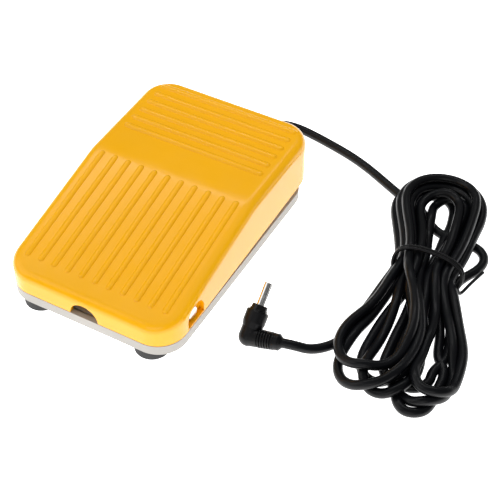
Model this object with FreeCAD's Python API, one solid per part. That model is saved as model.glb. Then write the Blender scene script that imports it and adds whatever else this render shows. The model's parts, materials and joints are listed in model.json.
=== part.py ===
import FreeCAD, Part
import math
import os
from FreeCAD import Vector

# Compact momentary foot switch: a yellow pedal cover hinged near its low end on a grey tray,
# with a micro-switch, a return spring and a two-core lead that ends in a small barrel plug.
# Millimetres. X is the width, Y runs from the low hinge end to the high toe end, Z is up.
# The origin is the middle of the cover's outline, on the floor.

# --- Outline ---
WIDTH = 80.0
LENGTH = 122.4
CORNER_R = 12.5
HALF_W = WIDTH / 2
FRONT_Y = -LENGTH / 2
REAR_Y = LENGTH / 2

# --- Feet and tray ---
FOOT_H = 4.5
FOOT_R = 7.5
FOOT_X = 26.8
FOOT_FRONT_Y = -53.4
FOOT_REAR_Y = 44.0
FOOT_HOLE_R = 1.75
FOOT_SINK_R = 3.4
FOOT_SINK_H = 2.4
TRAY_FLOOR = 2.2
TRAY_WALL = 2.4
TRAY_TOP = 9.6
TRAY_SHORT = 4.8
TRAY_LIP = 0.5
UPSTAND_INSET = 3.6
UPSTAND_WALL = 1.6
UPSTAND_TOP = 14.0
FLOOR_Z = FOOT_H + TRAY_FLOOR
TRAY_REAR_Y = REAR_Y - TRAY_SHORT

# --- Cover ---
COVER_WALL = 2.2
SKIRT_GAP = 0.3
SKIRT_SLOPE = 0.0315
TOP_FRONT_Z = 19.8
TOP_CREASE_Z = 34.4
TOP_REAR_Z = 35.3
CREASE_Y = 6.2
CREASE_R = 30.0
EDGE_R = 4.2
INNER_EDGE_R = 2.2
NOTCH_R = 6.6

# --- Grip ribs ---
RIB_STANDS = 0.75
LONG_RIB_W = 2.7
LONG_RIBS = 11
LONG_RIB_SPAN = 65.4
LONG_RIB_Y0 = -51.2
LONG_RIB_Y1 = 4.0
CROSS_RIB_W = 3.2
CROSS_RIBS = 6
CROSS_RIB_SPAN = 65.4
CROSS_RIB_Y1 = 54.4
CROSS_RIB_PITCH = 6.05

# --- Hinge ---
PIN_Y = -40.8
PIN_Z = 13.8
PIN_R = 2.0
PIN_HEAD_R = 3.0
PIN_HEAD_T = 0.8
PIN_CLEAR = 0.06
POCKET_DEPTH = 2.2
POCKET_R = 6.0
POCKET_BOTTOM = 10.7
BOSS_T = 2.0
WASHER_T = 0.4
WASHER_R = 3.6
POST_T = 5.2
POST_HALF_Y = 4.4
SIDE_GAP = 0.12

# --- Micro-switch ---
SWITCH_L = 27.8
SWITCH_W = 10.3
SWITCH_H = 15.7
SWITCH_Y0 = -3.0
SWITCH_Z0 = 10.4
SWITCH_LID_T = 1.4
SWITCH_WALL = 1.5
SWITCH_HOLE_R = 1.6
LEVER_PIVOT_Y = -0.2
LEVER_PIVOT_Z = 27.2
LEVER_T = 0.6
LEVER_W = 4.2
LEVER_END_Y = 21.6
PLUNGER_Y = 13.0
PLUNGER_R = 1.3
PRESS_Y = 19.5
WEB_T = 2.4
SCREW_R = 1.45
SCREW_HEAD_R = 2.8
SCREW_HEAD_H = 1.9
NUT_R = 3.17
NUT_T = 2.4

# --- Return spring ---
SPRING_Y = 32.0
SPRING_R = 5.6
SPRING_WIRE_R = 0.6
SPRING_TURNS = 7

# --- Lead, hank and plug ---
CORD_R = 2.05
CORD_REST_Z = 2.1
CORD_EXIT_Y = 68.0
CORD_EXIT_Z = 12.2
CORD_INNER_Y = 42.4
GLAND_NECK_R = 2.9
GLAND_FLANGE_R = 4.0
CORE_R = 0.65
HANK_H = 12.0
HANK_EDGE_R = 3.0
TIE_T = 0.7
TIE_W = 2.4
PLUG_R = 4.0
PLUG_HEAD_R = 4.6
PLUG_NOSE_R = 3.4
PLUG_ELBOW = Vector(59.3, -33.3, 4.05)
PLUG_CORD_DIR = Vector(13.3, 1.7, 2.0)
PLUG_BARREL_DIR = Vector(0.0, 0.75, 0.66)
PLUG_NECK = 10.9
PLUG_NOSE = 13.4
PLUG_TIP = 22.8
PLUG_TAIL = 14.4
BARREL_R = 1.75
BARREL_SEAT_R = 1.55
BARREL_TIP_ROUND = 0.25
BARREL_BORE_R = 1.3
CONTACT_R = 1.05
CONTACT_BORE_R = 0.68


# ---------------------------------------------------------------- small builders

def save(name, shape):
    """Write one named sub-part and report what it is."""
    if not shape.isValid():
        print("INVALID", name)
    shape.exportStep("parts/%s.step" % name)
    print("%-24s solids %2d  volume %10.2f mm3" % (name, len(shape.Solids), shape.Volume))


def box(x0, x1, y0, y1, z0, z1):
    return Part.makeBox(x1 - x0, y1 - y0, z1 - z0, Vector(x0, y0, z0))


def cyl(radius, start, end):
    """Cylinder between two points."""
    axis = end - start
    return Part.makeCylinder(radius, axis.Length, start, axis)


def cone(radius0, radius1, start, end):
    """Truncated cone between two points."""
    axis = end - start
    return Part.makeCone(radius0, radius1, axis.Length, start, axis)


def ring(outer, inner, start, end):
    return cyl(outer, start, end).cut(cyl(inner, start, end))


def mirror_x(shape):
    return shape.mirror(Vector(0, 0, 0), Vector(1, 0, 0))


def both_sides(shape):
    """The shape and its mirror image across the middle, as one group."""
    return Part.makeCompound([shape, mirror_x(shape)])


def plate_wire(x0, x1, y0, y1, r, z):
    """Closed rectangle with rounded corners in a level plane."""
    k = r * (1 - math.sqrt(0.5))
    spots = [
        (x0 + r, y0), (x1 - r, y0), (x1 - k, y0 + k), (x1, y0 + r),
        (x1, y1 - r), (x1 - k, y1 - k), (x1 - r, y1), (x0 + r, y1),
        (x0 + k, y1 - k), (x0, y1 - r), (x0, y0 + r), (x0 + k, y0 + k),
    ]
    p = [Vector(x, y, z) for x, y in spots]
    edges = [
        Part.LineSegment(p[0], p[1]), Part.Arc(p[1], p[2], p[3]),
        Part.LineSegment(p[3], p[4]), Part.Arc(p[4], p[5], p[6]),
        Part.LineSegment(p[6], p[7]), Part.Arc(p[7], p[8], p[9]),
        Part.LineSegment(p[9], p[10]), Part.Arc(p[10], p[11], p[0]),
    ]
    return Part.Wire([e.toShape() for e in edges])


def rounded_block(x0, x1, y0, y1, r, z0, z1):
    face = Part.Face(plate_wire(x0, x1, y0, y1, r, z0))
    return face.extrude(Vector(0, 0, z1 - z0))


def skirt_z(y):
    """Lower edge of the cover at rest: a fine slit up to the hinge that then opens towards the toe."""
    return TRAY_TOP + SKIRT_GAP + SKIRT_SLOPE * max(0.0, y - PIN_Y)


def top_z(y):
    """Height of the cover's top face, without the ribs."""
    if y < CREASE_Y:
        return TOP_FRONT_Z + (TOP_CREASE_Z - TOP_FRONT_Z) * (y - FRONT_Y) / (CREASE_Y - FRONT_Y)
    return TOP_CREASE_Z + (TOP_REAR_Z - TOP_CREASE_Z) * (y - CREASE_Y) / (REAR_Y - CREASE_Y)


def side_profile(drop, low_front, low_middle, low_rear):
    """Prism across the whole width whose top is the pedal's top line, lowered by drop.
    Its underside is broken at the hinge line.
    """
    far = 3.0
    slope_front = math.atan((TOP_CREASE_Z - TOP_FRONT_Z) / (CREASE_Y - FRONT_Y))
    slope_rear = math.atan((TOP_REAR_Z - TOP_CREASE_Z) / (REAR_Y - CREASE_Y))
    tangent = CREASE_R * math.tan((slope_front - slope_rear) / 2)
    corner = Vector(0, CREASE_Y, TOP_CREASE_Z - drop)
    before = corner - Vector(0, math.cos(slope_front), math.sin(slope_front)) * tangent
    after = corner + Vector(0, math.cos(slope_rear), math.sin(slope_rear)) * tangent
    middle = (slope_front + slope_rear) / 2
    centre = before + Vector(0, math.sin(slope_front), -math.cos(slope_front)) * CREASE_R
    crown = centre + Vector(0, -math.sin(middle), math.cos(middle)) * CREASE_R
    low0 = Vector(0, FRONT_Y - far, low_front)
    low1 = Vector(0, PIN_Y, low_middle)
    low2 = Vector(0, REAR_Y + far, low_rear)
    high0 = Vector(0, FRONT_Y - far, TOP_FRONT_Z - drop - far * math.tan(slope_front))
    high1 = Vector(0, REAR_Y + far, TOP_REAR_Z - drop + far * math.tan(slope_rear))
    edges = [
        Part.LineSegment(low0, high0), Part.LineSegment(high0, before), Part.Arc(before, crown, after),
        Part.LineSegment(after, high1), Part.LineSegment(high1, low2),
        Part.LineSegment(low2, low1), Part.LineSegment(low1, low0),
    ]
    face = Part.Face(Part.Wire([e.toShape() for e in edges]))
    face.translate(Vector(-WIDTH, 0, 0))
    return face.extrude(Vector(2 * WIDTH, 0, 0))


def top_edges(shape, clear_of):
    """Edges around the top of a pedal-shaped block, above the plain side walls."""
    found = []
    for edge in shape.Edges:
        heights = [v.Z for v in edge.Vertexes]
        level = all(abs(v.Z - (top_z(v.Y) - clear_of)) < 1.0 for v in edge.Vertexes)
        upright = max(heights) - min(heights) > 8 and abs(edge.Vertexes[0].Y - edge.Vertexes[-1].Y) < 0.01
        across = edge.BoundBox.XLength > WIDTH * 0.9 and FRONT_Y + 3 < edge.BoundBox.YMin < REAR_Y - 3
        if level and not upright and not across:
            found.append(edge)
    return found


def pedal_block(inset, drop, edge_r, profile):
    """Solid pedal shape: the rounded outline cut to the side profile, with its top edge rounded."""
    plan = rounded_block(-HALF_W + inset, HALF_W - inset, FRONT_Y + inset, REAR_Y - inset,
                         CORNER_R - inset, 0, 60)
    block = plan.common(profile)
    return block.makeFillet(edge_r, top_edges(block, drop))


def capsule(start, end, radius):
    """Cylinder with a ball at each end."""
    body = cyl(radius, start, end)
    return body.fuse([Part.makeSphere(radius, start), Part.makeSphere(radius, end)])


def grip_rib(start, end, width):
    """Rounded rib whose crown stands RIB_STANDS above the face that its ends lie on."""
    radius = ((width / 2) ** 2 + RIB_STANDS ** 2) / (2 * RIB_STANDS)
    sink = Vector(0, 0, radius - RIB_STANDS)
    return capsule(start - sink, end - sink, radius)


# ---------------------------------------------------------------- cover

def grip_ribs():
    ribs = []
    for i in range(LONG_RIBS):
        x = -LONG_RIB_SPAN / 2 + LONG_RIB_SPAN * i / (LONG_RIBS - 1)
        start = Vector(x, LONG_RIB_Y0, top_z(LONG_RIB_Y0))
        end = Vector(x, LONG_RIB_Y1, top_z(LONG_RIB_Y1))
        ribs.append(grip_rib(start, end, LONG_RIB_W))
    for i in range(CROSS_RIBS):
        y = CROSS_RIB_Y1 - CROSS_RIB_PITCH * i
        start = Vector(-CROSS_RIB_SPAN / 2, y, top_z(y))
        end = Vector(CROSS_RIB_SPAN / 2, y, top_z(y))
        ribs.append(grip_rib(start, end, CROSS_RIB_W))
    return ribs


def arch(x0, x1, radius, bottom):
    """Block with a half-round top about the hinge line."""
    block = box(x0, x1, PIN_Y - radius, PIN_Y + radius, bottom, PIN_Z)
    crown = cyl(radius, Vector(x0, PIN_Y, PIN_Z), Vector(x1, PIN_Y, PIN_Z))
    above = box(x0, x1, PIN_Y - radius, PIN_Y + radius, PIN_Z, PIN_Z + radius)
    return block.fuse(crown.common(above)).removeSplitter()


def hinge_pocket_floor():
    """Thick patch inside the skirt that carries the hinge hole behind its pocket."""
    x0 = HALF_W - POCKET_DEPTH - BOSS_T
    x1 = HALF_W - COVER_WALL + 0.4
    return arch(x0, x1, POCKET_R + 1.8, skirt_z(PIN_Y + POCKET_R + 1.8) + 0.1)


def hinge_pocket_cuts():
    """Recess in the side wall, the hinge hole and the small relief below the recess."""
    floor_x = HALF_W - POCKET_DEPTH
    recess = arch(floor_x, HALF_W + 1, POCKET_R, POCKET_BOTTOM)
    inner_x = floor_x - BOSS_T - 1
    hole = cyl(PIN_R + PIN_CLEAR, Vector(inner_x, PIN_Y, PIN_Z), Vector(HALF_W, PIN_Y, PIN_Z))
    relief = box(floor_x, HALF_W + 1, PIN_Y - 5.6, PIN_Y + 5.6, 0, POCKET_BOTTOM - 0.55)
    return [recess, hole, relief]


def cable_notch(y0, y1):
    """Half-round cable notch in the skirt's lower edge, cut right through one end wall."""
    middle = (y0 + y1) / 2
    z = skirt_z(middle)
    return cyl(NOTCH_R, Vector(0, y0, z), Vector(0, y1, z))


def spring_peg():
    """Peg under the cover that centres the top of the return spring."""
    r = SPRING_R - SPRING_WIRE_R - 0.5
    under = top_z(SPRING_Y) - COVER_WALL
    return cyl(r, Vector(0, SPRING_Y, under - 4.0), Vector(0, SPRING_Y, under + 0.8))


def press_boss():
    """Small boss under the cover that pushes the switch lever."""
    under = top_z(PRESS_Y) - COVER_WALL
    low = lever_top_z(PRESS_Y) + 0.15
    start = Vector(-3.0, PRESS_Y, low + 1.5)
    end = Vector(3.0, PRESS_Y, low + 1.5)
    nose = cyl(1.5, start, end)
    return nose.fuse(box(-3.0, 3.0, PRESS_Y - 1.5, PRESS_Y + 1.5, low + 1.5, under + 0.8))


def hook_legs():
    """Two legs under the toe that hook below the tray's posts and stop the cover rising."""
    under = top_z(50.0) - COVER_WALL
    leg = box(16.0, 22.0, 51.0, 53.2, 18.6, under + 0.8)
    lip = box(16.0, 22.0, 49.4, 51.0, 18.6, 20.6)
    return leg.fuse(lip)


def stiffeners():
    """Two ribs inside the roof, either side of the switch."""
    rib = box(21.0, 22.6, -30.0, 48.0, 20.0, 60.0)
    below = side_profile(5.0, 0.0, 0.0, 0.0)
    above = side_profile(COVER_WALL - 0.6, 0.0, 0.0, 0.0)
    return rib.common(above).cut(below)


def make_cover():
    skirt = side_profile(0.0, skirt_z(FRONT_Y), skirt_z(PIN_Y), skirt_z(REAR_Y + 3))
    outer = pedal_block(0.0, 0.0, EDGE_R, skirt).fuse(grip_ribs())
    hollow = side_profile(COVER_WALL, 0.0, 0.0, 0.0)
    inner = pedal_block(COVER_WALL, COVER_WALL, INNER_EDGE_R, hollow)
    shell = outer.cut(inner)
    patch = hinge_pocket_floor()
    extras = [patch, mirror_x(patch), spring_peg(), press_boss()]
    leg = hook_legs()
    extras += [leg, mirror_x(leg)]
    rib = stiffeners()
    extras += [rib, mirror_x(rib)]
    shell = shell.fuse(extras)
    cuts = hinge_pocket_cuts()
    cuts += [mirror_x(c) for c in cuts]
    cuts.append(cable_notch(FRONT_Y - 1, FRONT_Y + COVER_WALL + 0.5))
    cuts.append(cable_notch(REAR_Y - COVER_WALL - 0.5, REAR_Y + 1))
    return shell.cut(cuts).removeSplitter()


# ---------------------------------------------------------------- tray and feet

def upstand():
    """Low inner wall of the tray, inside the skirt, left out beside the hinge posts and
    cut down behind the front cable notch.
    """
    a = UPSTAND_INSET
    b = UPSTAND_INSET + UPSTAND_WALL
    rear = TRAY_REAR_Y - TRAY_WALL + 0.4
    outer = rounded_block(-HALF_W + a, HALF_W - a, FRONT_Y + a, rear, CORNER_R - a, FLOOR_Z - 1, UPSTAND_TOP)
    inner = rounded_block(-HALF_W + b, HALF_W - b, FRONT_Y + b, rear - UPSTAND_WALL, CORNER_R - b,
                          FLOOR_Z - 1, UPSTAND_TOP)
    wall = outer.cut(inner)
    clear = POCKET_R + 3.0
    window = box(HALF_W - 9, HALF_W, PIN_Y - clear, PIN_Y + clear, FLOOR_Z, UPSTAND_TOP + 1)
    sill = box(-NOTCH_R - 1.5, NOTCH_R + 1.5, FRONT_Y, FRONT_Y + b + 1, TRAY_TOP, UPSTAND_TOP + 1)
    return wall.cut([window, mirror_x(window), sill])


def hinge_post():
    """Upright block that holds the hinge pin's shank."""
    outer_x = post_outer_x()
    post = box(outer_x - POST_T, outer_x, PIN_Y - POST_HALF_Y, PIN_Y + POST_HALF_Y, FLOOR_Z - 1, PIN_Z)
    crown = cyl(POST_HALF_Y, Vector(outer_x - POST_T, PIN_Y, PIN_Z), Vector(outer_x, PIN_Y, PIN_Z))
    bore = cyl(PIN_R, Vector(outer_x - POST_T - 1, PIN_Y, PIN_Z), Vector(outer_x + 1, PIN_Y, PIN_Z))
    return post.fuse(crown).cut(bore)


def post_outer_x():
    return HALF_W - POCKET_DEPTH - BOSS_T - 2 * SIDE_GAP - WASHER_T


def foot_places():
    return [(s * FOOT_X, y) for y in (FOOT_FRONT_Y, FOOT_REAR_Y) for s in (-1, 1)]


def foot_boss(x, y):
    return cyl(3.6, Vector(x, y, FLOOR_Z - 1), Vector(x, y, 12.4))


def switch_web():
    """Upright web that the micro-switch is screwed to."""
    x0 = SWITCH_W / 2
    return box(x0, x0 + WEB_T, SWITCH_Y0 - 1, SWITCH_Y0 + SWITCH_L + 1, FLOOR_Z - 1, SWITCH_Z0 + SWITCH_H)


def spring_cup():
    start = Vector(0, SPRING_Y, FLOOR_Z - 1)
    return ring(SPRING_R + 2.3, SPRING_R + SPRING_WIRE_R + 0.3, start, Vector(0, SPRING_Y, FLOOR_Z + 3.5))


def hook_post():
    """Post of the tray whose lip keeps the cover's leg from rising."""
    post = box(15.0, 23.0, 46.6, 48.9, FLOOR_Z - 1, 23.4)
    lip = box(15.0, 23.0, 48.9, 50.5, 21.0, 23.4)
    gusset = box(18.2, 19.8, 42.0, 46.6, FLOOR_Z - 1, 17.0)
    return post.fuse([lip, gusset])


def clamp_seat():
    """Block with a groove that the lead lies in, under the cable clamp."""
    seat = box(-9.5, 9.5, 44.0, 49.0, FLOOR_Z - 1, CORD_EXIT_Z - 0.6)
    groove = cyl(CORD_R, Vector(0, 40, CORD_EXIT_Z), Vector(0, 52, CORD_EXIT_Z))
    return seat.cut(groove)


def gland_cuts():
    """Round seats for the gland in the tray's rear wall and rim."""
    rear_in = TRAY_REAR_Y - TRAY_WALL + 0.4 - UPSTAND_WALL
    neck = cyl(GLAND_NECK_R, Vector(0, rear_in - 1, CORD_EXIT_Z), Vector(0, rear_in + 3, CORD_EXIT_Z))
    slot = box(-GLAND_NECK_R, GLAND_NECK_R, rear_in - 1, rear_in + 2, CORD_EXIT_Z, UPSTAND_TOP + 1)
    rim = cyl(GLAND_FLANGE_R + 0.1, Vector(0, rear_in + UPSTAND_WALL, CORD_EXIT_Z),
              Vector(0, TRAY_REAR_Y + 1, CORD_EXIT_Z))
    return [neck, slot, rim]


def make_tray():
    outer = rounded_block(-HALF_W, HALF_W, FRONT_Y, TRAY_REAR_Y, CORNER_R, FOOT_H, TRAY_TOP)
    low_edges = [e for e in outer.Edges if e.BoundBox.ZMax < FOOT_H + 0.01]
    outer = outer.makeChamfer(TRAY_LIP, low_edges)
    w = TRAY_WALL
    hollow = rounded_block(-HALF_W + w, HALF_W - w, FRONT_Y + w, TRAY_REAR_Y - w, CORNER_R - w,
                           FLOOR_Z, TRAY_TOP + 1)
    tray = outer.cut(hollow)
    post = hinge_post()
    hook = hook_post()
    extras = [upstand(), post, mirror_x(post), switch_web(), spring_cup(), hook, mirror_x(hook), clamp_seat()]
    extras += [foot_boss(x, y) for x, y in foot_places()]
    tray = tray.fuse(extras)
    cuts = gland_cuts()
    cuts += [cyl(SCREW_R, Vector(x, y, 0), Vector(x, y, 11.8)) for x, y in foot_places()]
    cuts += [cyl(SWITCH_HOLE_R, Vector(0, y, z), Vector(20, y, z)) for y, z in switch_holes()]
    cuts += [cyl(SCREW_R, Vector(x, 46.5, FLOOR_Z), Vector(x, 46.5, 20)) for x in (-6.6, 6.6)]
    return tray.cut(cuts).removeSplitter()


def make_foot(x, y):
    pad = cyl(FOOT_R, Vector(x, y, 0), Vector(x, y, FOOT_H))
    pad = pad.makeFillet(0.8, [e for e in pad.Edges if e.BoundBox.ZMax < 0.01])
    sink = cyl(FOOT_SINK_R, Vector(x, y, -1), Vector(x, y, FOOT_SINK_H))
    hole = cyl(FOOT_HOLE_R, Vector(x, y, 0), Vector(x, y, FOOT_H + 1))
    return pad.cut([sink, hole])


def pan_screw(seat, direction, length):
    """Pan-head screw: the head stands on its seat, the shank runs along direction."""
    axis = Vector(direction)
    axis.normalize()
    head = cyl(SCREW_HEAD_R, seat - axis * SCREW_HEAD_H, seat)
    rim = [e for e in head.Edges if abs(e.CenterOfMass.sub(seat - axis * SCREW_HEAD_H).dot(axis)) < 0.01]
    head = head.makeFillet(0.7, rim)
    shank = cyl(SCREW_R, seat, seat + axis * length)
    top = seat - axis * SCREW_HEAD_H
    recess = cone(1.3, 0.7, top, top + axis * 1.1)
    return head.fuse(shank).cut(recess)


def make_foot_screws():
    up = Vector(0, 0, 1)
    return [pan_screw(Vector(x, y, FOOT_SINK_H), up, 8.6) for x, y in foot_places()]


# ---------------------------------------------------------------- hinge

def make_hinge_pin():
    x = HALF_W - POCKET_DEPTH + 0.1
    head = cyl(PIN_HEAD_R, Vector(x, PIN_Y, PIN_Z), Vector(x + PIN_HEAD_T, PIN_Y, PIN_Z))
    head = head.makeFillet(0.45, [e for e in head.Edges if e.BoundBox.XMin > x + PIN_HEAD_T - 0.01])
    shank = cyl(PIN_R, Vector(post_outer_x() - POST_T - 0.6, PIN_Y, PIN_Z), Vector(x, PIN_Y, PIN_Z))
    return head.fuse(shank)


def make_hinge_washer():
    x = post_outer_x() + SIDE_GAP
    return ring(WASHER_R, PIN_R + 0.1, Vector(x, PIN_Y, PIN_Z), Vector(x + WASHER_T, PIN_Y, PIN_Z))


# ---------------------------------------------------------------- micro-switch

def switch_holes():
    """Centres (y, z) of the two mounting holes."""
    return [(SWITCH_Y0 + 2.8, SWITCH_Z0 + 2.8), (SWITCH_Y0 + SWITCH_L - 2.8, SWITCH_Z0 + 13.1)]


def lever_top_z(y):
    """Top face of the lever, which rises slightly from its pivot."""
    return LEVER_PIVOT_Z + LEVER_T + 0.055 * (y - LEVER_PIVOT_Y)


def switch_top():
    return SWITCH_Z0 + SWITCH_H


def make_switch_case():
    half = SWITCH_W / 2
    y1 = SWITCH_Y0 + SWITCH_L
    block = box(-half + SWITCH_LID_T, half, SWITCH_Y0, y1, SWITCH_Z0, switch_top())
    chamber = box(-half, half - SWITCH_WALL - 1.4, SWITCH_Y0 + 5.4, y1 - 5.4, SWITCH_Z0 + 2, switch_top() - 3)
    guide = cyl(PLUNGER_R + 0.08, Vector(0, PLUNGER_Y, switch_top() - 5), Vector(0, PLUNGER_Y, 60))
    lug = box(-1.6, 1.6, LEVER_PIVOT_Y - 1.5, LEVER_PIVOT_Y + 1.5, switch_top() - 1, LEVER_PIVOT_Z)
    eye = cyl(1.2, Vector(-1.6, LEVER_PIVOT_Y, LEVER_PIVOT_Z), Vector(1.6, LEVER_PIVOT_Y, LEVER_PIVOT_Z))
    pivot = cyl(0.5, Vector(-3, LEVER_PIVOT_Y, LEVER_PIVOT_Z), Vector(3, LEVER_PIVOT_Y, LEVER_PIVOT_Z))
    holes = [cyl(SWITCH_HOLE_R, Vector(-9, y, z), Vector(9, y, z)) for y, z in switch_holes()]
    slots = [terminal_blade(i, 0.0) for i in range(3)]
    return block.fuse([lug, eye]).cut([chamber, guide, pivot] + holes + slots).removeSplitter()


def make_switch_lid():
    half = SWITCH_W / 2
    y1 = SWITCH_Y0 + SWITCH_L
    lid = box(-half, -half + SWITCH_LID_T, SWITCH_Y0, y1, SWITCH_Z0, switch_top())
    holes = [cyl(SWITCH_HOLE_R, Vector(-9, y, z), Vector(9, y, z)) for y, z in switch_holes()]
    return lid.cut(holes)


def make_plunger():
    top = lever_top_z(PLUNGER_Y) - LEVER_T - 0.12
    stem = cyl(PLUNGER_R, Vector(0, PLUNGER_Y, switch_top() - 2.4), Vector(0, PLUNGER_Y, top))
    return stem.makeFillet(0.3, [e for e in stem.Edges if e.BoundBox.ZMin > top - 0.01])


def make_lever():
    """Bent steel strip on a small cross pivot above the switch."""
    y0 = LEVER_PIVOT_Y
    spots = [
        (y0 + 1.9, lever_top_z(y0 + 1.9)), (LEVER_END_Y, lever_top_z(LEVER_END_Y)),
        (LEVER_END_Y, lever_top_z(LEVER_END_Y) - LEVER_T), (y0 + 1.9, lever_top_z(y0 + 1.9) - LEVER_T),
    ]
    points = [Vector(-LEVER_W / 2, y, z) for y, z in spots]
    strip = Part.Face(Part.makePolygon(points + [points[0]])).extrude(Vector(LEVER_W, 0, 0))
    pivot_start = Vector(-2.6, y0, LEVER_PIVOT_Z)
    pivot_end = Vector(2.6, y0, LEVER_PIVOT_Z)
    pivot = cyl(0.45, pivot_start, pivot_end)
    parts = [pivot]
    for x in (-2.6, 1.9):
        cheek = box(x, x + 0.7, y0 - 0.9, y0 + 3.4, LEVER_PIVOT_Z - 0.6, LEVER_PIVOT_Z + 0.9)
        parts.append(cheek)
    return strip.fuse(parts).removeSplitter()


def terminal_blade(index, clear):
    """One flat terminal below the switch case."""
    y = SWITCH_Y0 + 5.0 + index * 8.9
    return box(-0.4 - clear, 0.4 + clear, y - 1.6, y + 1.6, SWITCH_Z0 - 3.2, SWITCH_Z0 + 1.2)


def make_terminals():
    blades = []
    for i in range(3):
        y = SWITCH_Y0 + 5.0 + i * 8.9
        hole = cyl(0.7, Vector(-3, y, SWITCH_Z0 - 2.0), Vector(3, y, SWITCH_Z0 - 2.0))
        blades.append(terminal_blade(i, 0.0).cut(hole))
    return Part.makeCompound(blades)


def make_contact_blade():
    """Snap-action leaf inside the switch chamber."""
    y0 = SWITCH_Y0 + 6.2
    y1 = SWITCH_Y0 + SWITCH_L - 6.2
    z = SWITCH_Z0 + 7.0
    leaf = box(-2.0, 1.2, y0, y1, z, z + 0.3)
    stand = box(-2.0, 1.2, y0, y0 + 1.2, SWITCH_Z0 + 2.0, z)
    tip = cyl(1.0, Vector(-0.4, y1 - 1.5, z - 0.8), Vector(-0.4, y1 - 1.5, z))
    return leaf.fuse([stand, tip]).removeSplitter()


def make_switch_screws():
    x = -SWITCH_W / 2
    return [pan_screw(Vector(x, y, z), Vector(1, 0, 0), 15.6) for y, z in switch_holes()]


def make_switch_nuts():
    x = SWITCH_W / 2 + WEB_T
    nuts = []
    for y, z in switch_holes():
        turns = [math.radians(60 * k) for k in range(7)]
        corners = [Vector(x, y + NUT_R * math.cos(a), z + NUT_R * math.sin(a)) for a in turns]
        prism = Part.Face(Part.makePolygon(corners)).extrude(Vector(NUT_T, 0, 0))
        nuts.append(prism.cut(cyl(SCREW_R, Vector(x - 1, y, z), Vector(x + NUT_T + 1, y, z))))
    return Part.makeCompound(nuts)


# ---------------------------------------------------------------- return spring

def make_spring():
    """Compression spring between the tray's cup and the cover."""
    low = FLOOR_Z + SPRING_WIRE_R + 0.02
    high = top_z(SPRING_Y) - COVER_WALL - SPRING_WIRE_R - 0.12
    height = high - low
    helix = Part.makeHelix(height / SPRING_TURNS, height, SPRING_R)
    start = Vector(SPRING_R, 0, 0)
    pitch_angle = math.atan(height / SPRING_TURNS / (2 * math.pi * SPRING_R))
    tangent = Vector(0, math.cos(pitch_angle), math.sin(pitch_angle))
    section = Part.Wire([Part.makeCircle(SPRING_WIRE_R, start, tangent)])
    spring = Part.Wire(helix.Edges).makePipeShell([section], True, True)
    spring.translate(Vector(0, SPRING_Y, low))
    return spring


# ---------------------------------------------------------------- lead

def rounded_route(points):
    """Wire of straight runs joined by tangent arcs, each as large as its two runs allow."""
    ends = []
    for i in range(1, len(points) - 1):
        back = points[i - 1] - points[i]
        ahead = points[i + 1] - points[i]
        reach = 0.45 * min(back.Length, ahead.Length)
        turn = math.pi - back.getAngle(ahead)
        radius = reach / math.tan(turn / 2)
        back.normalize()
        ahead.normalize()
        start = points[i] + back * reach
        end = points[i] + ahead * reach
        inward = back + ahead
        inward.normalize()
        sag = radius / math.cos(turn / 2) - radius
        ends.append((start, points[i] + inward * sag, end, radius, math.degrees(turn)))
    edges = []
    here = points[0]
    for start, middle, end, radius, turn in ends:
        edges.append(Part.LineSegment(here, start).toShape())
        edges.append(Part.Arc(start, middle, end).toShape())
        here = end
    edges.append(Part.LineSegment(here, points[-1]).toShape())
    return Part.Wire(edges), [(e[3], e[4]) for e in ends]


def tube(name, points, radius):
    """Round solid along a rounded route, with its bend radii and volume printed."""
    wire, bends = rounded_route(points)
    section = Part.Wire([Part.makeCircle(radius, points[0], points[1] - points[0])])
    solid = wire.makePipeShell([section], True, True)
    ideal = math.pi * radius ** 2 * wire.Length
    text = ", ".join("%.1f at %.0f deg" % b for b in bends)
    runs = ", ".join("%.1f" % (b - a).Length for a, b in zip(points, points[1:]))
    print("%s length %.1f volume/ideal %.4f runs [%s] radii [%s]" % (
        name, wire.Length, solid.Volume / ideal, runs, text))
    return solid


LEAD_ROUTE = [
    Vector(0, CORD_EXIT_Y, CORD_EXIT_Z),
    Vector(0, 74.0, CORD_EXIT_Z),
    Vector(0.5, 81.8, 8.4),
    Vector(4.2, 89.0, 3.6),
    Vector(13.0, 94.4, CORD_REST_Z),
    Vector(30.0, 91.6, CORD_REST_Z),
    Vector(52.0, 86.2, CORD_REST_Z),
    Vector(75.0, 75.0, CORD_REST_Z),
]

TAIL_ROUTE = [
    Vector(92.4, -14.5, CORD_REST_Z),
    Vector(88.7, -21.4, CORD_REST_Z),
    Vector(83.6, -27.4, 3.6),
]
TAIL_STRAIGHT = 5.0


def plug_axes():
    """Unit vectors along the plug's soft sleeve and along its barrel."""
    lead = Vector(PLUG_CORD_DIR)
    lead.normalize()
    barrel = Vector(PLUG_BARREL_DIR)
    barrel.normalize()
    return lead, barrel


def tail_points():
    lead, barrel = plug_axes()
    sleeve_end = PLUG_ELBOW + lead * PLUG_TAIL
    return TAIL_ROUTE + [sleeve_end + lead * TAIL_STRAIGHT, sleeve_end]


HANK_OUTLINE = [
    (73.5, 70.0), (79.0, 87.0), (92.0, 95.0), (108.0, 88.5), (118.5, 68.0), (125.5, 52.0),
    (124.0, 28.0), (134.5, 8.0), (143.0, -16.0), (137.0, -36.0), (120.0, -42.5), (102.0, -40.5),
    (88.5, -23.0), (87.0, -5.0), (92.5, 20.0), (86.5, 43.0),
]


def make_hank():
    """Outer shape of the tied hank as it lies on the floor."""
    curve = Part.BSplineCurve()
    curve.interpolate([Vector(x, y, 0) for x, y in HANK_OUTLINE], PeriodicFlag=True)
    face = Part.Face(Part.Wire([curve.toShape()]))
    block = face.extrude(Vector(0, 0, HANK_H))
    top = [e for e in block.Edges if e.BoundBox.ZMin > HANK_H - 0.01]
    return block.makeFillet(HANK_EDGE_R, top)


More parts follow.
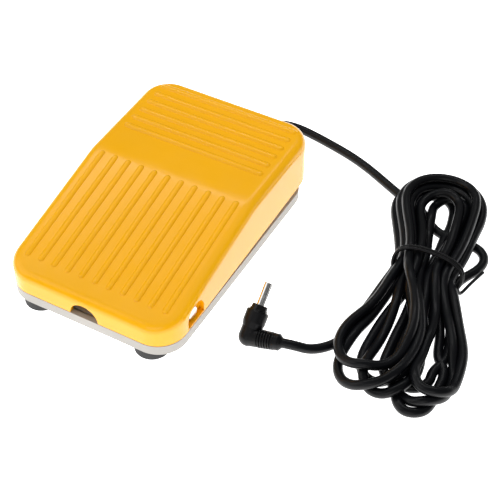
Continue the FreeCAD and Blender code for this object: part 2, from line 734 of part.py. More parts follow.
def make_tie():
    """Wire tie: a flat band round the waist of the hank, with its free end."""
    y = 34.0
    x0 = 88.6
    x1 = 125.2
    t = TIE_T
    outer = rounded_ring_block(x0, x1, y, HANK_H + t, 4.0)
    inner = rounded_ring_block(x0 + t, x1 - t, y, HANK_H, 3.3)
    tail = cyl(0.8, Vector(x1 - 0.8, y, 2.2), Vector(x1 + 4.6, y + 13.0, 2.2))
    return outer.cut(inner).fuse(tail)


def rounded_ring_block(x0, x1, y, top, r):
    """Block across the hank with rounded shoulders, open to the floor."""
    block = box(x0, x1, y - TIE_W / 2, y + TIE_W / 2, 0.05, top)
    shoulders = [e for e in block.Edges if e.BoundBox.ZMin > top - 0.01 and e.BoundBox.YLength > TIE_W - 0.1]
    return block.makeFillet(r, shoulders)


def make_inner_cord():
    """Jacket from the gland's end to the clamp, inside the housing."""
    return cyl(CORD_R, Vector(0, CORD_INNER_Y, CORD_EXIT_Z), Vector(0, CORD_EXIT_Y, CORD_EXIT_Z))


def make_gland():
    """Moulded bush in the tray's rear wall, with a tapered tail round the lead."""
    z = CORD_EXIT_Z
    rear_in = TRAY_REAR_Y - TRAY_WALL + 0.4 - UPSTAND_WALL
    rear_out = rear_in + UPSTAND_WALL
    flange_in = cyl(GLAND_FLANGE_R, Vector(0, rear_in - 1.6, z), Vector(0, rear_in, z))
    neck = cyl(GLAND_NECK_R, Vector(0, rear_in, z), Vector(0, rear_out, z))
    flange_out = cyl(GLAND_FLANGE_R, Vector(0, rear_out, z), Vector(0, rear_out + 1.6, z))
    tail = cone(3.0, CORD_R + 0.45, Vector(0, rear_out + 1.6, z), Vector(0, CORD_EXIT_Y, z))
    bore = cyl(CORD_R, Vector(0, rear_in - 3, z), Vector(0, CORD_EXIT_Y + 1, z))
    return flange_in.fuse([neck, flange_out, tail]).cut(bore)


def make_clamp():
    """Saddle over the lead on the tray's seat."""
    seat = CORD_EXIT_Z - 0.6
    bar = box(-9.5, 9.5, 44.2, 48.8, seat, seat + 2.2)
    hump = cyl(CORD_R + 2.0, Vector(0, 44.2, CORD_EXIT_Z), Vector(0, 48.8, CORD_EXIT_Z))
    hump = hump.common(box(-9, 9, 40, 52, seat, 30))
    bore = cyl(CORD_R, Vector(0, 40, CORD_EXIT_Z), Vector(0, 52, CORD_EXIT_Z))
    holes = [cyl(SCREW_R + 0.15, Vector(x, 46.5, 0), Vector(x, 46.5, 30)) for x in (-6.6, 6.6)]
    return bar.fuse(hump).cut([bore] + holes)


def make_clamp_screws():
    z = CORD_EXIT_Z - 0.6 + 2.2
    return [pan_screw(Vector(x, 46.5, z), Vector(0, 0, -1), 6.5) for x in (-6.6, 6.6)]


def core_route(lift, out, terminal):
    """Route of one core from the jacket's end, past the spring, to its terminal's left face."""
    y = SWITCH_Y0 + 5.0 + terminal * 8.9
    return [
        Vector(0, CORD_INNER_Y, CORD_EXIT_Z + lift),
        Vector(0, CORD_INNER_Y - 2.2, CORD_EXIT_Z + lift),
        Vector(-3.4, CORD_INNER_Y - 4.2, CORD_EXIT_Z + lift),
        Vector(-out + 1.4, SPRING_Y + 4.5, 11.6 + lift),
        Vector(-out, SPRING_Y - 4.0, 9.6 + lift),
        Vector(-out, SPRING_Y - 12.0, 8.2),
        Vector(-out + 0.6, y + 6.5, 8.2),
        Vector(-5.2, y + 0.8, 8.2),
        Vector(-1.1, y, 8.4),
    ]


# ---------------------------------------------------------------- plug

def on_barrel(distance):
    """Point on the barrel's axis, measured from the elbow."""
    return PLUG_ELBOW + plug_axes()[1] * distance


def on_sleeve(distance):
    """Point on the soft sleeve's axis, measured from the elbow."""
    return PLUG_ELBOW + plug_axes()[0] * distance


def make_plug_moulding():
    """Elbow moulding with a ribbed soft sleeve round the lead."""
    heel = Part.makeSphere(PLUG_R, PLUG_ELBOW)
    body = cyl(PLUG_R, PLUG_ELBOW, on_barrel(PLUG_NECK))
    branch = cone(PLUG_R - 0.1, 3.7, PLUG_ELBOW, on_sleeve(4.6))
    sleeve = cone(3.1, 2.7, on_sleeve(4.6), on_sleeve(PLUG_TAIL - 3.0))
    shoulder = cone(PLUG_R, PLUG_HEAD_R, on_barrel(3.6), on_barrel(6.0))
    head = cyl(PLUG_HEAD_R, on_barrel(6.0), on_barrel(PLUG_NECK - 0.5))
    rim = cone(PLUG_HEAD_R, PLUG_HEAD_R - 0.4, on_barrel(PLUG_NECK - 0.5), on_barrel(PLUG_NECK))
    parts = [body, branch, sleeve, shoulder, head, rim]
    for i in range(6):
        start = 5.1 + i * 1.1
        parts.append(cyl(3.8 - 0.05 * i, on_sleeve(start), on_sleeve(start + 0.6)))
    parts.append(cyl(3.4, on_sleeve(PLUG_TAIL - 3.2), on_sleeve(PLUG_TAIL - 1.2)))
    parts.append(cone(3.4, 2.3, on_sleeve(PLUG_TAIL - 1.2), on_sleeve(PLUG_TAIL)))
    return heel.fuse(parts).removeSplitter()


def make_plug_nose():
    """Stepped collar that the barrel stands in."""
    base = cyl(PLUG_NOSE_R + 0.3, on_barrel(PLUG_NECK), on_barrel(PLUG_NECK + 0.7))
    step = cone(PLUG_NOSE_R, PLUG_NOSE_R - 0.2, on_barrel(PLUG_NECK + 0.7), on_barrel(PLUG_NOSE))
    seat = cyl(BARREL_SEAT_R, on_barrel(PLUG_NECK - 1), on_barrel(PLUG_NOSE + 1))
    return base.fuse(step).cut(seat)


def make_plug_barrel():
    """Plated outer sleeve on a narrower seat, rounded at its open end."""
    sleeve = cyl(BARREL_R, on_barrel(PLUG_NOSE), on_barrel(PLUG_TIP))
    tip = [e for e in sleeve.Edges if len(e.Vertexes) == 1 and e.CenterOfMass.z > on_barrel(PLUG_TIP - 1).z]
    sleeve = sleeve.makeFillet(BARREL_TIP_ROUND, tip)
    sleeve = sleeve.fuse(cyl(BARREL_SEAT_R, on_barrel(PLUG_NECK), on_barrel(PLUG_NOSE)))
    return sleeve.cut(cyl(BARREL_BORE_R, on_barrel(PLUG_NECK - 1), on_barrel(PLUG_TIP + 1)))


def make_plug_insulator():
    return ring(BARREL_BORE_R, CONTACT_R, on_barrel(PLUG_NECK), on_barrel(PLUG_TIP - 0.5))


def make_plug_contact():
    """Inner spring contact that takes the socket's centre pin."""
    body = cyl(CONTACT_R, on_barrel(PLUG_NECK), on_barrel(PLUG_TIP - 1.0))
    return body.cut(cyl(CONTACT_BORE_R, on_barrel(PLUG_NECK + 1.0), on_barrel(PLUG_TIP)))


# ---------------------------------------------------------------- build and write

def main():
    os.makedirs("parts", exist_ok=True)
    save("pedal_cover", make_cover())
    save("base_tray", make_tray())
    names = ("foot_front_left", "foot_front_right", "foot_rear_left", "foot_rear_right")
    for name, (x, y) in zip(names, foot_places()):
        save(name, make_foot(x, y))
    save("foot_screws", Part.makeCompound(make_foot_screws()))
    pin = make_hinge_pin()
    save("hinge_pin_right", pin)
    save("hinge_pin_left", mirror_x(pin))
    save("hinge_washers", both_sides(make_hinge_washer()))
    save("return_spring", make_spring())
    save("switch_case", make_switch_case())
    save("switch_lid", make_switch_lid())
    save("switch_plunger", make_plunger())
    save("switch_lever", make_lever())
    save("switch_terminals", make_terminals())
    save("switch_contact_blade", make_contact_blade())
    save("switch_screws", Part.makeCompound(make_switch_screws()))
    save("switch_nuts", make_switch_nuts())
    save("cable_gland", make_gland())
    save("cable_clamp", make_clamp())
    save("clamp_screws", Part.makeCompound(make_clamp_screws()))
    save("cord_inner", make_inner_cord())
    save("core_common", tube("core_common", core_route(0.85, 12.0, 0), CORE_R))
    save("core_switched", tube("core_switched", core_route(-0.85, 9.6, 1), CORE_R))
    save("cord_lead", tube("cord_lead", LEAD_ROUTE, CORD_R))
    save("cord_hank", make_hank())
    save("cord_tail", tube("cord_tail", tail_points(), CORD_R))
    save("hank_tie", make_tie())
    save("plug_moulding", make_plug_moulding())
    save("plug_nose", make_plug_nose())
    save("plug_barrel", make_plug_barrel())
    save("plug_insulator", make_plug_insulator())
    save("plug_contact", make_plug_contact())
    print("plug barrel direction", plug_axes()[1], "middle", on_barrel((PLUG_NOSE + PLUG_TIP - BARREL_TIP_ROUND) / 2),
          "length", PLUG_TIP - BARREL_TIP_ROUND - PLUG_NOSE)


main()
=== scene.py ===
import json
import math
import bpy
import numpy as np
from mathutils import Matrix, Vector


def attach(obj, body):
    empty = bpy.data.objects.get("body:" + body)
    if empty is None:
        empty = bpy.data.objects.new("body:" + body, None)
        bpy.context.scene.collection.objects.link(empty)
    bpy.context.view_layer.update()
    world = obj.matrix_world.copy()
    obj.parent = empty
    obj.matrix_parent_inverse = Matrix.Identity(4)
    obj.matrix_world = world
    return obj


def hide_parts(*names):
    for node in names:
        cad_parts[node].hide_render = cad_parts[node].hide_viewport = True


# Compact yellow foot switch on a grey tray, with its black lead tied in a hank and a small barrel plug.
# Lengths are metres in the CAD frame: X is the width, Y runs from the low hinge end to the toe, Z is up.

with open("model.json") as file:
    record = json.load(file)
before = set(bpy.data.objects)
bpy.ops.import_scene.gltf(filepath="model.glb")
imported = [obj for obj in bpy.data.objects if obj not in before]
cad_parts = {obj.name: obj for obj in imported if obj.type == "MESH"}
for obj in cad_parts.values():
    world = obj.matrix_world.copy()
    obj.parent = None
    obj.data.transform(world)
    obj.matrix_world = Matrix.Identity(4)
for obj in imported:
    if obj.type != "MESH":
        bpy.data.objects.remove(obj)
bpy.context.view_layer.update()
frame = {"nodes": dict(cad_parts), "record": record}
NODES = frame["nodes"]
MM = 0.001


# ---------------------------------------------------------------- camera

def add_camera():
    """Camera of the photograph: a long lens from the front right, looking down at 45 degrees."""
    azimuth = math.radians(29.13)
    elevation = math.radians(45.0)
    distance = 0.54075
    target = Vector((0.03425, 0.01303, 0.0))
    back = Vector((math.sin(azimuth) * math.cos(elevation),
                   -math.cos(azimuth) * math.cos(elevation),
                   math.sin(elevation)))
    data = bpy.data.cameras.new("camera")
    data.sensor_width = 36.0
    data.lens = 90.45
    data.clip_start = 0.01
    data.clip_end = 10.0
    camera = bpy.data.objects.new("camera", data)
    bpy.context.scene.collection.objects.link(camera)
    camera.location = target + back * distance
    camera.rotation_mode = "QUATERNION"
    camera.rotation_quaternion = (-back).to_track_quat("-Z", "Y")
    bpy.context.scene.camera = camera


add_camera()


# ---------------------------------------------------------------- the lead's route

CORD_R = 2.05 * MM
CORD_D = 2 * CORD_R
REST_Z = 2.1 * MM

# The same points as the CAD route, in metres.
LEAD = [
    (0.0, 0.068, 0.0122),
    (0.0, 0.074, 0.0122),
    (0.0005, 0.0818, 0.0084),
    (0.0042, 0.089, 0.0036),
    (0.013, 0.0944, 0.0021),
    (0.030, 0.0916, 0.0021),
    (0.052, 0.0862, 0.0021),
    (0.075, 0.075, 0.0021),
]
TAIL = [
    (0.0924, -0.0145, 0.0021),
    (0.0887, -0.0214, 0.0021),
    (0.0836, -0.0274, 0.0036),
]
PLUG_ELBOW = Vector((0.0593, -0.0333, 0.00405))
PLUG_LEAD_DIR = Vector((13.3, 1.7, 2.0)).normalized()
PLUG_SLEEVE_END = 14.4 * MM
TAIL_STRAIGHT = 5.0 * MM
TAIL_INSIDE = 2.0 * MM

# The hank, in millimetres: where its tie is, the middle of its upper lobe and the way the lobe points.
TIE_X = 106.6
TIE_Y = 33.5
LOBE_LOW = (95.6, 74.4)
LOBE_HIGH = (96.6, 73.4)
LOBE_INNER = (97.4, 71.6)
LOBE_AXIS = (-0.262, 0.965)
LOW, HIGH, TOP = 2.1, 5.7, 9.3

# How the hank settles. Lengths are millimetres, and pulls and shares are per round.
SETTLE_ROUNDS = 120
SPACING = 5.0         # between two points of the settled line
CLEARANCE = 0.05      # left between two turns
NEIGHBOURS = 5        # samples each way along the cord that don't push a sample
NEAREST = 0.05        # smallest distance used in a push's direction
LIFT = 1.35           # how much stronger a push is upwards than sideways
PUSH_SHARE = 0.55
SAG = 0.03
TIE_SAG = 0.05        # added at the tie
TIE_REACH = 7.0       # how far along the hank the tie is felt
TIE_SIDE = 16         # how far to the tie's right it is felt
HOLD = 0.03           # pull towards a point's first place
TIE_HOLD = 0.12       # added at the tie
SHARP_TURN = 0.14     # 1 - cos of a turn that starts to be opened more, fully so at twice that
SMOOTH = 0.05
SHARP_SMOOTH = 0.45   # added at a sharp bend
LENGTH_SHARE = 0.25

# Turns over the upper lobe: slot at the tie on the left, slot on the right, radius, height and lobe.
ARCS = {
    "outer_low": (-12.0, 8.0, 18.6, LOW, LOBE_LOW),
    "middle_low": (-8.0, 4.0, 14.6, LOW, LOBE_LOW),
    "inner_low": (-4.0, 0.0, 9.8, LOW, (93.4, 72.4)),
    "outer_high": (-10.0, 10.0, 18.2, HIGH, LOBE_HIGH),
    "middle_high": (-6.0, 6.0, 14.0, HIGH, LOBE_HIGH),
    "inner_high": (-2.0, 2.0, 8.6, HIGH, (101.8, 75.4)),
    "outer_top": (-8.0, 8.0, 15.6, TOP, LOBE_HIGH),
    "inner_top": (-4.0, 4.0, 9.0, TOP, LOBE_INNER),
}

# Lower folds of the hank, from one slot at the tie to the next.
FOLDS = {
    "first_right": [
        (123, 22, 2), (129, 8, 2), (133, -6, 2), (133.5, -18, 2), (128.5, -28, 2),
        (119.5, -29.5, 2), (113, -21.5, 2), (111.5, -8, 2), (110, 7, 2), (108, 22, 2),
    ],
    "centre_left": [
        (103, 22, 2), (102.5, 8, 2), (102, -6, 2), (102.5, -19, 2), (107, -30, 2), (115, -33, 2.5),
        (121.5, -26, 4), (122.5, -13, 6), (118.5, -1, 7), (112.5, 10, 8), (106.5, 20, 8), (103.6, 28, 8),
    ],
    "top_right": [
        (113.5, 27, 8), (119, 18, 8), (121.8, 8, 8), (122, -3, 8), (122.6, -15, 8), (126, -26, 8),
        (133.8, -33, 8), (141.5, -28, 8), (141.4, -14, 8), (137, 1, 8), (128.5, 15, 8), (119.5, 28, 7),
    ],
    "top_left": [
        (95.6, 24, 6), (97, 12, 7), (95, 1, 8), (90.8, -9, 8), (91.2, -20.5, 8), (98, -30, 9),
        (108.5, -30, 10), (117.5, -21.5, 10), (119.5, -8, 10), (115.5, 5, 10), (109, 16, 10), (102, 26, 9),
    ],
    "far_right": [
        (119, 24, 6), (128, 10, 5), (135.5, -5, 4), (140, -17, 3), (138, -29.5, 2), (129, -37, 2),
        (119.5, -34, 2), (116, -20, 2), (114.5, -5, 2), (113, 8, 2), (111.2, 22, 2),
    ],
    "low_left": [
        (97, 22, 2), (96, 8, 2), (94.4, -6, 3), (93.5, -19, 4), (96, -31.5, 5), (104.5, -38, 5),
        (115, -35, 6), (121.5, -26, 6), (122.5, -13, 7), (118, 2, 7), (112, 14, 6), (107, 25, 6),
    ],
    "crossing": [
        (110.5, 22, 5), (115, 8, 5), (121.5, -5, 4), (126.5, -17, 3), (125.5, -29.5, 2), (117.5, -38, 2),
        (108.5, -35.5, 2), (105.0, -23, 3), (105.5, -7, 4), (104, 8, 5), (101.5, 22, 5),
    ],
    "deep": [
        (114, 23, 5), (116.5, 10, 5), (118, -4, 4), (118, -17, 3), (118.5, -30, 2), (125, -39, 2),
        (134.5, -37.5, 2), (138, -27, 2), (134.5, -11, 2), (128.5, 2, 2), (121.5, 13, 2), (116.5, 25, 2),
    ],
}

# The folds and turns in order, from the lead to the tail.
# True runs a turn from its right slot to its left one.
WINDING = [
    ("first_right", "inner_low", True),
    ("centre_left", "inner_top", False),
    ("top_right", "outer_high", True),
    ("top_left", "outer_top", False),
    ("far_right", "middle_low", True),
    ("low_left", "inner_high", False),
    ("crossing", "middle_high", False),
    ("deep", "outer_low", True),
]

# How the lead comes into the hank under its upper lobe, and how the hank goes over to the tail.
UNDER_LOBE = [
    (86, 69, 2), (98, 62, 2), (110, 58.5, 2), (119, 60.5, 2),
    (126, 57.5, 2), (126.2, 48.5, 2), (121.5, 41, 2), (118.6, 33.5, 2),
]
TO_TAIL = [(93.8, 22, 2), (95, 8, 2), (94.6, -4, 2)]

# A turn over the upper lobe: its points, the angle they cover, and how far outside the cord's line
# its control points lie, so that the spline keeps the turn's radius.
ARC_STEPS = 9
ARC_SWEEP = 200
CONTROL_OUT = 1.03
ABOVE_TIE = 12.0


def top_arc(left, right, radius, z, lobe):
    """Control points of one turn over the upper lobe, from its left slot at the tie to its right one."""
    ax, ay = LOBE_AXIS
    out = radius * CONTROL_OUT
    points = [(TIE_X + left, TIE_Y, z), (TIE_X + left * 1.1 - 2.5, TIE_Y + ABOVE_TIE, z)]
    for i in range(ARC_STEPS):
        turn = math.radians(-ARC_SWEEP / 2 + ARC_SWEEP * i / (ARC_STEPS - 1))
        x = lobe[0] + out * (math.sin(turn) * ay + math.cos(turn) * ax)
        y = lobe[1] + out * (-math.sin(turn) * ax + math.cos(turn) * ay)
        points.append((x, y, z))
    points += [(TIE_X + right * 1.1 + 0.8, TIE_Y + ABOVE_TIE, z), (TIE_X + right, TIE_Y, z)]
    return points


def hank_points():
    """Control points of the whole hank, wound from the lead to the tail."""
    points = list(UNDER_LOBE)
    for fold, arc, to_left in WINDING:
        run = top_arc(*ARCS[arc])
        points += FOLDS[fold] + (run[::-1] if to_left else run)
    return points + TO_TAIL


def spline_samples(points, per_span):
    """Points along a quadratic spline through the middles of its control points' runs."""
    out = [points[0]]
    for i in range(1, len(points) - 1):
        start = points[0] if i == 1 else (points[i - 1] + points[i]) / 2
        end = points[-1] if i == len(points) - 2 else (points[i] + points[i + 1]) / 2
        for k in range(1, per_span + 1):
            t = k / per_span
            out.append(start * (1 - t) ** 2 + points[i] * 2 * t * (1 - t) + end * t * t)
    return np.array(out)


def evenly(points, spacing):
    """The same line with its points an even distance apart."""
    steps = np.linalg.norm(np.diff(points, axis=0), axis=1)
    along = np.concatenate([[0], np.cumsum(steps)])
    count = int(round(along[-1] / spacing)) + 1
    at = np.linspace(0, along[-1], count)
    return np.stack([np.interp(at, along, points[:, k]) for k in range(3)], axis=1)


def sample_weights(count):
    """Weights that place two samples per control point on its quadratic spline.

    One is beside the control point and one is at the middle of the run to the next.
    """
    weights = np.zeros((2 * count, count))
    for i in range(count):
        before = max(i - 1, 0)
        after = min(i + 1, count - 1)
        weights[2 * i, before] += 0.125
        weights[2 * i, i] += 0.75
        weights[2 * i, after] += 0.125
        weights[2 * i + 1, i] += 0.5
        weights[2 * i + 1, after] += 0.5
    return weights


def push_apart(p, weights, pairs, closest):
    """Pushes apart samples of two turns that are closer than closest, with more lift than sideways."""
    samples = weights @ p
    gap = samples[:, None, :] - samples[None, :, :]
    dist = np.sqrt((gap ** 2).sum(axis=2))
    a, b = np.nonzero(pairs & (dist < closest))
    way = gap[a, b] / np.maximum(dist[a, b], NEAREST)[:, None]
    way[:, 2] *= LIFT
    push = way * ((closest - dist[a, b]) * 0.5)[:, None]
    moved = np.zeros_like(samples)
    count = np.ones(len(samples))
    np.add.at(moved, a, push)
    np.add.at(moved, b, -push)
    np.add.at(count, a, 0.5)
    np.add.at(count, b, 0.5)
    p += weights.T @ (moved / count[:, None]) * PUSH_SHARE


def open_bends(p):
    """Moves every point a little towards the middle of its neighbours, and much more at a sharp bend."""
    unit = np.diff(p, axis=0)
    unit /= np.linalg.norm(unit, axis=1)[:, None]
    sharp = np.clip((1 - (unit[:-1] * unit[1:]).sum(axis=1)) / SHARP_TURN - 1, 0, 1)
    p[1:-1] += (SMOOTH + SHARP_SMOOTH * sharp)[:, None] * ((p[:-2] + p[2:]) / 2 - p[1:-1])


def keep_length(p, rest):
    """Pulls every run part of the way back to its own length."""
    run = np.diff(p, axis=0)
    length = np.linalg.norm(run, axis=1)
    fix = run * ((length - rest) / length * LENGTH_SHARE)[:, None]
    p[:-1] += fix
    p[1:] -= fix


def settle(points):
    """Lets the hank's loose turns lie on each other and on the floor, as a limp cord does.

    Every round pushes apart turns that are closer than a diameter, lets them sag, opens bends that
    are too sharp, keeps the cord's length and holds each turn near its own place.
    """
    home = evenly(spline_samples(points, 8), SPACING)
    p = home.copy()
    rest = np.linalg.norm(np.diff(home, axis=0), axis=1)
    closest = CORD_D / MM + CLEARANCE
    near_tie = np.exp(-((home[:, 1] - TIE_Y) / TIE_REACH) ** 2) * (home[:, 0] < TIE_X + TIE_SIDE)
    hold = HOLD + TIE_HOLD * near_tie
    weights = sample_weights(len(p))
    order = np.arange(len(weights))
    pairs = np.triu(np.abs(np.subtract.outer(order, order)) > NEIGHBOURS)
    for _ in range(SETTLE_ROUNDS):
        push_apart(p, weights, pairs, closest)
        p[:, 2] -= SAG + TIE_SAG * near_tie
        open_bends(p)
        keep_length(p, rest)
        p[:, :2] += (home - p)[:, :2] * hold[:, None]
        p[:, 2] = np.maximum(p[:, 2], REST_Z / MM)
        p[0] = home[0]
        p[-1] = home[-1]
    return p


def cord_route():
    """Control points of the whole cord: the lead, the settled hank and the tail into the plug's sleeve."""
    sleeve_end = PLUG_ELBOW + PLUG_LEAD_DIR * PLUG_SLEEVE_END
    tail = [Vector(q) for q in TAIL]
    tail += [sleeve_end + PLUG_LEAD_DIR * TAIL_STRAIGHT, sleeve_end - PLUG_LEAD_DIR * TAIL_INSIDE]
    ends = [np.array(LEAD[-1]) / MM, np.array(TAIL[0]) / MM]
    hank = np.array([ends[0]] + [np.array(q) for q in hank_points()] + [ends[1]], float)
    hank = settle(hank) * MM
    return [Vector(q) for q in LEAD[:-1]] + [Vector(q) for q in hank] + tail[1:]


def nurbs_tube(name, points, radius, sides):
    """Round tube along one open smooth spline.

    The bevel is 1 and the points hold the radius, because a curve's bound box adds the points' radius.
    """
    curve = bpy.data.curves.new(name, "CURVE")
    curve.dimensions = "3D"
    curve.bevel_depth = 1.0
    curve.bevel_resolution = sides
    curve.use_fill_caps = True
    spline = curve.splines.new("NURBS")
    spline.points.add(len(points) - 1)
    for point, place in zip(spline.points, points):
        point.co = (*place, 1.0)
        point.radius = radius
    spline.order_u = 3
    spline.use_endpoint_u = True
    spline.resolution_u = 6
    piece = bpy.data.objects.new(name, curve)
    bpy.context.scene.collection.objects.link(piece)
    return piece


route = cord_route()
cord = nurbs_tube("cord", route, CORD_R, 6)
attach(cord, "base")
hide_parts("cord_lead", "cord_hank", "cord_tail")


# ---------------------------------------------------------------- floor and light

def add_floor():
    """Plain white floor, a little under the object so that no face of it lies in the floor."""
    mesh = bpy.data.meshes.new("floor")
    size = 3.0
    corners = [(-size, -size, 0), (size, -size, 0), (size, size, 0), (-size, size, 0)]
    mesh.from_pydata(corners, [], [(0, 1, 2, 3)])
    floor = bpy.data.objects.new("floor", mesh)
    bpy.context.scene.collection.objects.link(floor)
    floor.location.z = -0.02 * MM
    material = bpy.data.materials.new("floor")
    material.use_nodes = True
    shader = material.node_tree.nodes["Principled BSDF"]
    shader.inputs["Base Color"].default_value = (0.9, 0.9, 0.9, 1)
    shader.inputs["Roughness"].default_value = 0.6
    shader.inputs["Emission Color"].default_value = (1, 1, 1, 1)
    shader.inputs["Emission Strength"].default_value = 1.5
    mesh.materials.append(material)


def add_light(name, size, power, place, aim, mirrored):
    """Soft area light. Mirrored says whether it shows in glossy surfaces."""
    data = bpy.data.lights.new(name, "AREA")
    data.shape = "RECTANGLE"
    data.size, data.size_y = size
    data.energy = power
    light = bpy.data.objects.new(name, data)
    bpy.context.scene.collection.objects.link(light)
    light.location = place
    light.visible_glossy = mirrored
    light.rotation_mode = "QUATERNION"
    light.rotation_quaternion = (Vector(aim) - Vector(place)).to_track_quat("-Z", "Y")


def add_world(strength):
    """Even white light from all sides."""
    world = bpy.data.worlds.new("studio")
    world.use_nodes = True
    background = world.node_tree.nodes["Background"]
    background.inputs["Color"].default_value = (1, 1, 1, 1)
    background.inputs["Strength"].default_value = strength
    bpy.context.scene.world = world
    bpy.context.scene.view_settings.view_transform = "Standard"


add_floor()
add_light("softbox_top", (1.2, 1.2), 6.9, (0.1, 0.1, 0.9), (0.03, 0.0, 0.0), False)
add_light("softbox_left", (0.8, 0.8), 2.2, (-0.7, -0.4, 0.6), (0.03, 0.0, 0.02), True)
add_light("softbox_front", (0.8, 0.5), 1.6, (0.2, -0.9, 0.5), (0.03, 0.0, 0.02), True)
add_light("strip_rear", (0.9, 0.1), 1.3, (-0.25, 0.42, 0.80), (0.03, 0.0, 0.02), True)
add_world(0.16)


# ---------------------------------------------------------------- materials

class Nodes:
    """A material with its shader and object coordinates, and a short way to add and join nodes."""

    def __init__(self, name):
        self.material = bpy.data.materials.new(name)
        self.material.use_nodes = True
        self.tree = self.material.node_tree
        self.shader = self.tree.nodes["Principled BSDF"]
        self.coords = self.tree.nodes.new("ShaderNodeTexCoord").outputs["Object"]

    def add(self, kind, **inputs):
        node = self.tree.nodes.new(kind)
        for name, value in inputs.items():
            node.inputs[name.replace("_", " ")].default_value = value
        return node

    def join(self, output, target):
        self.tree.links.new(output, target)

    def noise(self, scale, detail=3.0, rough=0.55):
        """Even noise fixed to the object."""
        node = self.add("ShaderNodeTexNoise", Scale=scale, Detail=detail, Roughness=rough)
        self.join(self.coords, node.inputs["Vector"])
        return node.outputs["Fac"]

    def ramp(self, source, stops):
        """Colours from a value, as (place, colour) stops."""
        node = self.tree.nodes.new("ShaderNodeValToRGB")
        ramp = node.color_ramp
        while len(ramp.elements) < len(stops):
            ramp.elements.new(0.5)
        for element, (place, colour) in zip(ramp.elements, stops):
            element.position = place
            element.color = (*colour, 1)
        self.join(source, node.inputs["Fac"])
        return node.outputs["Color"]

    def spread(self, source, low, high):
        """The middle of a noise spread from low to high."""
        node = self.tree.nodes.new("ShaderNodeMapRange")
        node.inputs["From Min"].default_value = 0.3
        node.inputs["From Max"].default_value = 0.7
        node.inputs["To Min"].default_value = low
        node.inputs["To Max"].default_value = high
        self.join(source, node.inputs["Value"])
        return node.outputs["Result"]

    def bump(self, source, strength, distance):
        """Adds a bump on top of any that is there already."""
        node = self.add("ShaderNodeBump", Strength=strength, Distance=distance)
        previous = self.shader.inputs["Normal"]
        if previous.links:
            self.join(previous.links[0].from_socket, node.inputs["Normal"])
        self.join(source, node.inputs["Height"])
        self.join(node.outputs["Normal"], previous)


def shade(colour, factor):
    """The colour made lighter or darker, up to full white."""
    return tuple(min(channel * factor, 1.0) for channel in colour)


def plastic(name, colour, rough, grain, grain_height, tone=0.06, specular=0.5):
    """Moulded plastic: slight tone drift, a fine moulded grain and uneven gloss."""
    m = Nodes(name)
    tones = [(0.3, shade(colour, 1 - tone)), (0.7, shade(colour, 1 + tone))]
    m.join(m.ramp(m.noise(28.0), tones), m.shader.inputs["Base Color"])
    m.join(m.spread(m.noise(90.0), rough - 0.04, rough + 0.05), m.shader.inputs["Roughness"])
    m.bump(m.noise(grain, 2.0), 0.35, grain_height)
    m.shader.inputs["Specular IOR Level"].default_value = specular
    return m.material


def metal(name, colour, rough, grain, grain_height=0.00001):
    """Plated or drawn metal with fine machining marks and handling haze."""
    m = Nodes(name)
    m.shader.inputs["Metallic"].default_value = 1.0
    m.join(m.ramp(m.noise(120.0), [(0.3, shade(colour, 0.9)), (0.7, colour)]), m.shader.inputs["Base Color"])
    m.join(m.spread(m.noise(300.0), rough * 0.7, rough * 1.4), m.shader.inputs["Roughness"])
    m.bump(m.noise(grain, 2.0), 0.3, grain_height)
    return m.material


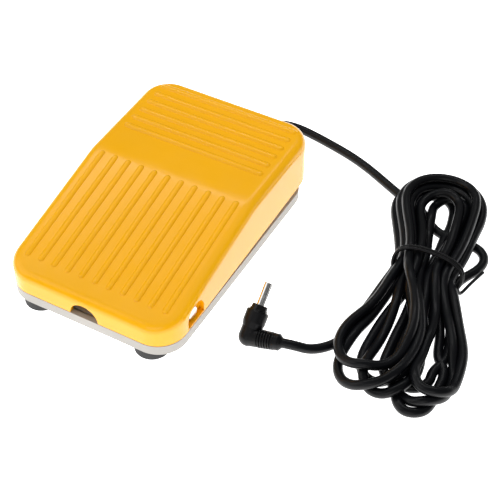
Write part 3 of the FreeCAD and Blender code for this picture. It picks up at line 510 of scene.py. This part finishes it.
MATERIALS = {
    "cover_yellow": plastic("cover_yellow", (0.93, 0.445, 0.002), 0.22, 2600.0, 0.00001, 0.02, 0.4),
    "tray_grey": plastic("tray_grey", (0.455, 0.435, 0.405), 0.55, 2200.0, 0.00003, 0.04, 0.4),
    "foot_rubber": plastic("foot_rubber", (0.035, 0.034, 0.034), 0.75, 1800.0, 0.00006, 0.2),
    "zinc_steel": metal("zinc_steel", (0.72, 0.71, 0.68), 0.3, 2000.0),
    "pin_nickel": metal("pin_nickel", (0.66, 0.64, 0.6), 0.22, 1500.0),
    "washer_nylon": plastic("washer_nylon", (0.8, 0.79, 0.74), 0.45, 1500.0, 0.00002),
    "spring_steel": metal("spring_steel", (0.5, 0.5, 0.52), 0.3, 2500.0),
    "switch_black": plastic("switch_black", (0.02, 0.02, 0.021), 0.4, 2400.0, 0.00003, 0.2),
    "plunger_red": plastic("plunger_red", (0.45, 0.02, 0.015), 0.3, 2000.0, 0.00001),
    "lever_steel": metal("lever_steel", (0.68, 0.68, 0.67), 0.25, 2500.0),
    "terminal_brass": metal("terminal_brass", (0.78, 0.62, 0.3), 0.3, 2500.0),
    "contact_bronze": metal("contact_bronze", (0.72, 0.42, 0.22), 0.3, 2500.0),
    "gland_rubber": plastic("gland_rubber", (0.02, 0.02, 0.02), 0.6, 2000.0, 0.00004, 0.2),
    "clamp_black": plastic("clamp_black", (0.025, 0.025, 0.025), 0.5, 2000.0, 0.00004, 0.2),
    "cord_pvc": plastic("cord_pvc", (0.0022, 0.0025, 0.0034), 0.34, 1600.0, 0.00002, 0.3, 0.24),
    "core_red": plastic("core_red", (0.5, 0.02, 0.015), 0.4, 2000.0, 0.00002),
    "core_white": plastic("core_white", (0.8, 0.79, 0.75), 0.4, 2000.0, 0.00002),
    "tie_black": plastic("tie_black", (0.004, 0.004, 0.0045), 0.3, 2000.0, 0.00003, 0.3, 0.3),
    "plug_pvc": plastic("plug_pvc", (0.003, 0.003, 0.0035), 0.36, 1800.0, 0.00003, 0.25, 0.22),
    "nose_black": plastic("nose_black", (0.004, 0.004, 0.004), 0.25, 2000.0, 0.00001, 0.2, 0.3),
    "barrel_nickel": metal("barrel_nickel", (0.85, 0.84, 0.82), 0.1, 900.0, 0.000002),
    "insulator_black": plastic("insulator_black", (0.02, 0.02, 0.02), 0.4, 2000.0, 0.00002),
    "contact_nickel": metal("contact_nickel", (0.85, 0.6, 0.28), 0.22, 3000.0),
}


def paint(piece, slot):
    """Gives a piece the material of a slot, and no other."""
    piece.data.materials.clear()
    piece.data.materials.append(MATERIALS[slot])


for part in frame["record"]["subparts"]:
    paint(NODES[part["node"]], part["material_slot"])
paint(cord, "cord_pvc")


# ---------------------------------------------------------------- tie

TIE_R = 0.72 * MM

# The tie's turns round the hank, in millimetres.
TIE_MIDDLE_X = TIE_X + 0.9
TIE_MIDDLE_Z = 6.5
TIE_HALF_WIDTH = 15.3
TIE_HALF_HEIGHT = 5.8
TIE_LEAN = 0.8
TIE_ROUNDING = 0.8
TIE_STEPS = 24
TIE_SHIFTS = (-0.75, 0.75)

# The tie's free end, in metres.
TIE_END = [
    (0.1222, 0.031, 0.0045),
    (0.1232, 0.0305, 0.0020),
    (0.1242, 0.0330, 0.0018),
    (0.1254, 0.0385, 0.0026),
    (0.1276, 0.0465, 0.0030),
]


def tie_turn(shift):
    """One turn of the tie's wire round the hank, leaning back at the top."""
    points = []
    for i in range(TIE_STEPS + 1):
        angle = -2 * math.pi * i / TIE_STEPS
        across = math.cos(angle)
        up = math.sin(angle)
        x = TIE_MIDDLE_X + TIE_HALF_WIDTH * math.copysign(abs(across) ** TIE_ROUNDING, across)
        z = TIE_MIDDLE_Z + TIE_HALF_HEIGHT * math.copysign(abs(up) ** TIE_ROUNDING, up)
        y = TIE_Y + shift + (z - TIE_MIDDLE_Z) * TIE_LEAN
        points.append(Vector((x, y, z)) * MM)
    return points


tie_pieces = []
for i, shift in enumerate(TIE_SHIFTS):
    tie_pieces.append(nurbs_tube(f"tie_turn_{i}", tie_turn(shift), TIE_R, 3))
tie_pieces.append(nurbs_tube("tie_end", TIE_END, TIE_R, 3))
for piece in tie_pieces:
    paint(piece, "tie_black")
    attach(piece, "base")
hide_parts("hank_tie")

bpy.context.view_layer.update()
